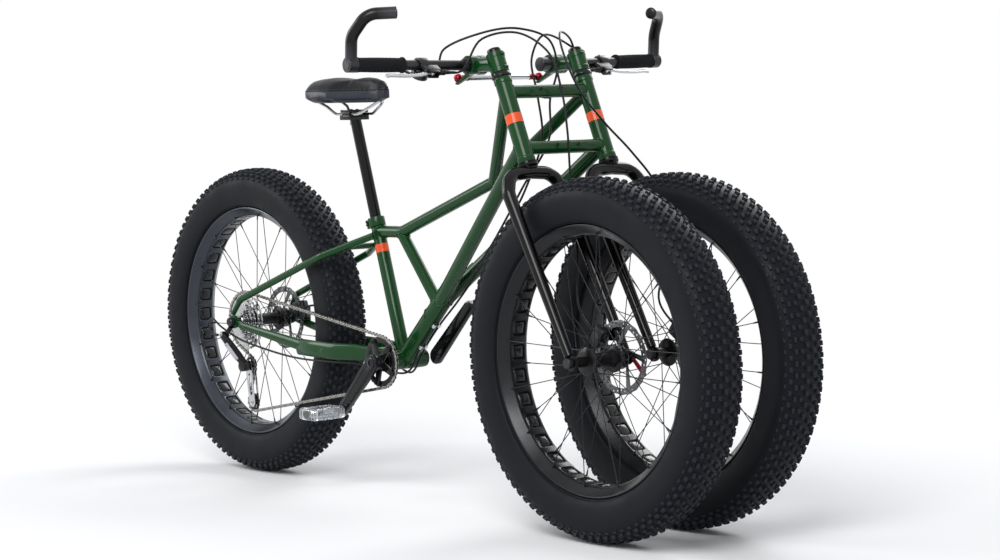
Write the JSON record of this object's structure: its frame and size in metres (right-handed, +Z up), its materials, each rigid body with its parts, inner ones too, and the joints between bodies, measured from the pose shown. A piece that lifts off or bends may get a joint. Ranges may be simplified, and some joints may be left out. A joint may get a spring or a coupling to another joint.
{
  "type": "fat tire tricycle",
  "caption": "Pedal tricycle with fat tyres: paired front wheels in separate linked forks, a single driven rear wheel, steel tube frame, disc brakes and bar ends",
  "frame": {"origin": "on the ground, in the middle of the overall length and of the width", "axes": "+X forward, +Y to the rider's left, +Z up"},
  "size_m": [2.17, 0.9068, 1.1335],
  "materials": {
    "green_paint": "dark green gloss paint",
    "black_paint": "black gloss paint",
    "black_rubber": "matte black rubber",
    "grey_aluminium": "grey anodised aluminium",
    "black_aluminium": "black anodised aluminium",
    "bare_steel": "bare steel",
    "red_aluminium": "red anodised aluminium",
    "black_leather": "black imitation leather",
    "black_plastic": "black plastic",
    "clear_plastic": "pale translucent plastic",
    "foam": "black foam rubber"
  },
  "bodies": {
    "frame": {"seat_tube": "green_paint", "top_tube": "green_paint", "down_tube": "green_paint", "head_tubes": "green_paint", "chainstays": "green_paint", "seatstays": "green_paint", "headset_cup_right": "black_aluminium", "headset_cup_left": "black_aluminium", "bottom_bracket": "black_aluminium", "seat_collar": "green_paint", "rear_axle": "bare_steel", "rear_caliper": "black_aluminium", "chain": "bare_steel", "derailleur": "black_aluminium", "derailleur_cage": "grey_aluminium", "rear_brake_cable": "black_rubber", "shift_cable": "black_rubber"},
    "seat": {"seatpost": "black_aluminium", "saddle_rails": "bare_steel", "saddle": "black_leather"},
    "rear_wheel": {"rear_tyre": "black_rubber", "rear_rim": "grey_aluminium", "rear_hub": "bare_steel", "rear_brake_disc": "bare_steel"},
    "sprockets": {"cassette": "bare_steel"},
    "guide_wheel": {"guide_pulley": "black_plastic"},
    "tension_wheel": {"tension_pulley": "black_plastic"},
    "crank": {"crank_right": "black_aluminium", "chainring": "black_aluminium", "crank_left": "black_aluminium"},
    "right_pedal": {"pedal_right": "clear_plastic"},
    "left_pedal": {"pedal_left": "clear_plastic"},
    "right_steering": {"fork_right": "black_paint", "stem_right": "green_paint", "handlebar_right": "black_aluminium", "grip_right": "foam", "control_right": "black_aluminium", "front_axle_right": "red_aluminium", "front_caliper_right": "black_aluminium", "front_brake_cable_right": "black_rubber"},
    "right_wheel": {"front_right_tyre": "black_rubber", "front_right_rim": "black_paint", "front_right_hub": "bare_steel", "front_right_brake_disc": "bare_steel"},
    "right_lever": {"brake_lever_right": "grey_aluminium"},
    "gear_trigger": {"shift_trigger": "black_plastic"},
    "steering_rod": {"tie_rod": "bare_steel"},
    "left_steering": {"fork_left": "black_paint", "stem_left": "green_paint", "handlebar_left": "black_aluminium", "grip_left": "foam", "control_left": "black_aluminium", "front_axle_left": "red_aluminium", "front_caliper_left": "black_aluminium", "front_brake_cable_left": "black_rubber"},
    "left_wheel": {"front_left_tyre": "black_rubber", "front_left_rim": "black_paint", "front_left_hub": "bare_steel", "front_left_brake_disc": "bare_steel"},
    "left_lever": {"brake_lever_left": "grey_aluminium"}
  },
  "joints": [
    {"name": "rear_wheel_spin", "type": "hinge", "parent": "frame", "child": "rear_wheel", "pos_m": [-0.7, 0, 0.385], "axis": [0, 1, 0], "continuous": true},
    {"name": "crank_spin", "type": "hinge", "parent": "frame", "child": "crank", "pos_m": [-0.115, 0, 0.3215], "axis": [0, 1, 0], "continuous": true},
    {"name": "cassette_spin", "type": "hinge", "parent": "frame", "child": "sprockets", "pos_m": [-0.7, 0, 0.385], "axis": [0, 1, 0], "continuous": true},
    {"name": "guide_pulley_spin", "type": "hinge", "parent": "frame", "child": "guide_wheel", "pos_m": [-0.688, -0.051, 0.272], "axis": [0, 1, 0], "continuous": true},
    {"name": "tension_pulley_spin", "type": "hinge", "parent": "frame", "child": "tension_wheel", "pos_m": [-0.67506, -0.051, 0.17991], "axis": [0, 1, 0], "continuous": true},
    {"name": "right_pedal_spin", "type": "hinge", "parent": "crank", "child": "right_pedal", "pos_m": [-0.23982, 0, 0.19884], "axis": [0, 1, 0], "continuous": true},
    {"name": "left_pedal_spin", "type": "hinge", "parent": "crank", "child": "left_pedal", "pos_m": [0.00982, 0, 0.44416], "axis": [0, 1, 0], "continuous": true},
    {"name": "steer_right", "type": "hinge", "parent": "frame", "child": "right_steering", "pos_m": [0.48043, -0.1175, 0.79478], "axis": [-0.3907, 0, 0.9205], "range_deg": [-35, 35], "deforming": ["front_brake_cable_right", "shift_cable"]},
    {"name": "right_wheel_spin", "type": "hinge", "parent": "right_steering", "child": "right_wheel", "pos_m": [0.7, -0.1175, 0.385], "axis": [0, 1, 0], "continuous": true},
    {"name": "right_brake_pull", "type": "hinge", "parent": "right_steering", "child": "right_lever", "pos_m": [0.33069, -0.25226, 0.99341], "axis": [-0.5297, 0.0267, -0.8477], "range_deg": [0, 10], "stiffness_Nm_per_rad": 0.8},
    {"name": "gear_shift", "type": "hinge", "parent": "right_steering", "child": "gear_trigger", "pos_m": [0.28963, -0.25725, 0.98529], "axis": [-0.5297, 0.0267, -0.8477], "range_deg": [0, 25], "stiffness_Nm_per_rad": 0.4},
    {"name": "tie_rod_swing", "type": "hinge", "parent": "right_steering", "child": "steering_rod", "pos_m": [0.2527, -0.1175, 0.98072], "axis": [-0.3907, 0, 0.9205], "range_deg": [-35, 35]},
    {"name": "steer_left", "type": "hinge", "parent": "frame", "child": "left_steering", "pos_m": [0.48043, 0.1175, 0.79478], "axis": [-0.3907, 0, 0.9205], "range_deg": [-35, 35], "deforming": ["front_brake_cable_left", "rear_brake_cable"]},
    {"name": "left_wheel_spin", "type": "hinge", "parent": "left_steering", "child": "left_wheel", "pos_m": [0.7, 0.1175, 0.385], "axis": [0, 1, 0], "continuous": true},
    {"name": "left_brake_pull", "type": "hinge", "parent": "left_steering", "child": "left_lever", "pos_m": [0.33069, 0.25226, 0.99341], "axis": [0.5297, 0.0267, 0.8477], "range_deg": [0, 10], "stiffness_Nm_per_rad": 0.8},
    {"name": "seat_height", "type": "slide", "parent": "frame", "child": "seat", "axis": [-0.289, 0, 0.9573], "range_m": [-0.045, 0.05]}
  ],
  "couplings": [
    {"joint": "cassette_spin", "follows": "crank_spin", "ratio": 0.83333},
    {"joint": "tension_pulley_spin", "follows": "crank_spin", "ratio": 2.7273},
    {"joint": "guide_pulley_spin", "follows": "crank_spin", "ratio": -2.7273},
    {"joint": "steer_left", "follows": "steer_right", "ratio": 1},
    {"joint": "tie_rod_swing", "follows": "steer_right", "ratio": -1}
  ]
}
